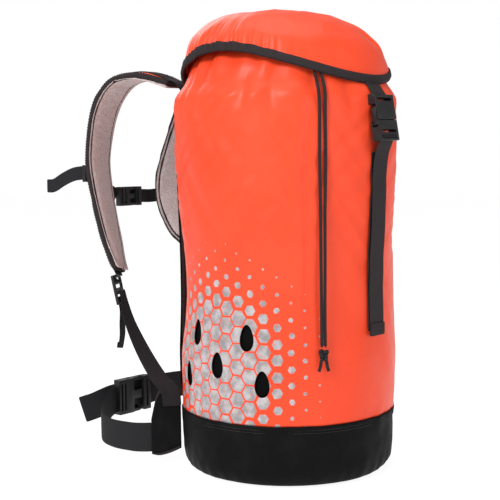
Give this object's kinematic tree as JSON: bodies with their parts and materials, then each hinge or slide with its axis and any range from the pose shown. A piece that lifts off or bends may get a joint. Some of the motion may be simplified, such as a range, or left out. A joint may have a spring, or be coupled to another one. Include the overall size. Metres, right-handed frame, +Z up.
{
  "type": "rope storage bag",
  "caption": "Upright cylindrical rope bag with a flap lid, drain holes, padded shoulder straps, sternum strap and waist belt.",
  "frame": {"origin": "centre of the underside of the base, on the ground", "axes": "+Z up along the bag, -Y the front with the closure strap, +Y the back with the harness"},
  "size_m": [0.2899, 0.5643, 0.596],
  "materials": {
    "orange_fabric": "coated fabric, satin",
    "base_fabric": "heavy coated fabric, satin black",
    "binding": "woven tape, matte black",
    "webbing": "woven webbing, matte black",
    "mesh_lining": "spacer mesh, grey",
    "drain_net": "open net, black",
    "foam": "closed-cell foam",
    "buckle_plastic": "moulded, fine texture",
    "cord": "braided cord, black",
    "spring_steel": "drawn wire"
  },
  "bodies": {
    "bag": {"bag_tube": "orange_fabric", "mouth_hem": "orange_fabric", "lid_back": "orange_fabric", "pad_cover_left": "orange_fabric", "pad_cover_right": "orange_fabric", "base_cup": "base_fabric", "back_pad": "base_fabric", "wing_left": "base_fabric", "wing_right": "base_fabric", "lid_back_binding": "binding", "pad_binding_left": "binding", "pad_binding_right": "binding", "front_strap": "webbing", "haul_loop": "webbing", "pad_web_left": "webbing", "pad_web_right": "webbing", "lower_web_left": "webbing", "lower_web_right": "webbing", "waist_web_left": "webbing", "waist_tail": "webbing", "pad_lining_left": "mesh_lining", "pad_lining_right": "mesh_lining", "drain_mesh": "drain_net", "pad_foam_left": "foam", "pad_foam_right": "foam", "base_pad": "foam", "waist_plug": "buckle_plastic", "cord_lock": "buckle_plastic", "drawcord_loop": "cord", "drawcord_left": "cord", "drawcord_right": "cord", "drawcord_knot": "cord", "cord_lock_spring": "spring_steel"},
    "cord_button": {"cord_lock_button": "buckle_plastic"},
    "lid": {"lid_shell": "orange_fabric", "lid_binding": "binding", "lid_web": "webbing", "lid_socket": "buckle_plastic"},
    "front_plug": {"lid_plug": "buckle_plastic", "strap_wrap": "webbing", "front_tail": "webbing"},
    "front_arm_left": {"lid_arm_left": "buckle_plastic"},
    "front_arm_right": {"lid_arm_right": "buckle_plastic"},
    "left_lock": {"ladder_lock_left": "buckle_plastic"},
    "right_lock": {"ladder_lock_right": "buckle_plastic"},
    "sternum": {"sternum_slider_left": "buckle_plastic", "sternum_slider_right": "buckle_plastic", "sternum_web_left": "webbing", "sternum_plug": "buckle_plastic", "sternum_tail": "webbing"},
    "sternum_half": {"sternum_web_right": "webbing", "sternum_socket": "buckle_plastic"},
    "chest_arm_upper": {"sternum_arm_upper": "buckle_plastic"},
    "chest_arm_lower": {"sternum_arm_lower": "buckle_plastic"},
    "belt_half": {"waist_web_right": "webbing", "waist_socket": "buckle_plastic"},
    "belt_arm_upper": {"waist_arm_upper": "buckle_plastic"},
    "belt_arm_lower": {"waist_arm_lower": "buckle_plastic"}
  },
  "joints": [
    {"name": "lid_hinge", "type": "hinge", "parent": "bag", "child": "lid", "pos_m": [0, 0.118, 0.558], "axis": [-1, 0, 0], "range_deg": [0, 95]},
    {"name": "cord_button_press", "type": "slide", "parent": "bag", "child": "cord_button", "axis": [0, 0, -1], "range_m": [0, 0.003], "stiffness_N_per_m": 300},
    {"name": "front_plug_slide", "type": "slide", "parent": "bag", "child": "front_plug", "axis": [0, -0.1736, -0.9848], "range_m": [0, 0.02]},
    {"name": "front_arm_right_squeeze", "type": "hinge", "parent": "front_plug", "child": "front_arm_right", "pos_m": [0.016, -0.15587, 0.44708], "axis": [0, -0.9848, 0.1736], "range_deg": [0, 6], "stiffness_Nm_per_rad": 0.02},
    {"name": "front_arm_left_squeeze", "type": "hinge", "parent": "front_plug", "child": "front_arm_left", "pos_m": [-0.016, -0.15587, 0.44708], "axis": [0, -0.9848, 0.1736], "range_deg": [-6, 0], "stiffness_Nm_per_rad": 0.02},
    {"name": "left_lock_tilt", "type": "hinge", "parent": "bag", "child": "left_lock", "pos_m": [-0.0851, 0.2408, 0.2426], "axis": [0.866, 0.5, 0], "range_deg": [0, 20]},
    {"name": "right_lock_tilt", "type": "hinge", "parent": "bag", "child": "right_lock", "pos_m": [0.0851, 0.2348, 0.2586], "axis": [0.866, -0.5, 0], "range_deg": [0, 20]},
    {"name": "sternum_height", "type": "slide", "parent": "bag", "child": "sternum", "axis": [0, 0.1, 0.995], "range_m": [-0.012, 0.012]},
    {"name": "sternum_open", "type": "hinge", "parent": "sternum", "child": "sternum_half", "pos_m": [0.06, 0.2955, 0.352], "axis": [0, 0, -1], "range_deg": [0, 70]},
    {"name": "chest_arm_upper_squeeze", "type": "hinge", "parent": "sternum", "child": "chest_arm_upper", "pos_m": [-0.013, 0.294, 0.362], "axis": [0, 1, 0], "range_deg": [0, 6], "stiffness_Nm_per_rad": 0.02},
    {"name": "chest_arm_lower_squeeze", "type": "hinge", "parent": "sternum", "child": "chest_arm_lower", "pos_m": [-0.013, 0.294, 0.342], "axis": [0, 1, 0], "range_deg": [-6, 0], "stiffness_Nm_per_rad": 0.02},
    {"name": "belt_open", "type": "hinge", "parent": "bag", "child": "belt_half", "pos_m": [0.1275, 0.134, 0.038], "axis": [0, 0, -1], "range_deg": [0, 60]},
    {"name": "belt_arm_upper_squeeze", "type": "hinge", "parent": "bag", "child": "belt_arm_upper", "pos_m": [-0.01, 0.297, 0.074], "axis": [0, 1, 0], "range_deg": [0, 6], "stiffness_Nm_per_rad": 0.02},
    {"name": "belt_arm_lower_squeeze", "type": "hinge", "parent": "bag", "child": "belt_arm_lower", "pos_m": [-0.01, 0.297, 0.03], "axis": [0, 1, 0], "range_deg": [-6, 0], "stiffness_Nm_per_rad": 0.02}
  ],
  "couplings": [
    {"joint": "front_arm_left_squeeze", "follows": "front_arm_right_squeeze", "ratio": -1},
    {"joint": "chest_arm_lower_squeeze", "follows": "chest_arm_upper_squeeze", "ratio": -1},
    {"joint": "belt_arm_lower_squeeze", "follows": "belt_arm_upper_squeeze", "ratio": -1}
  ]
}
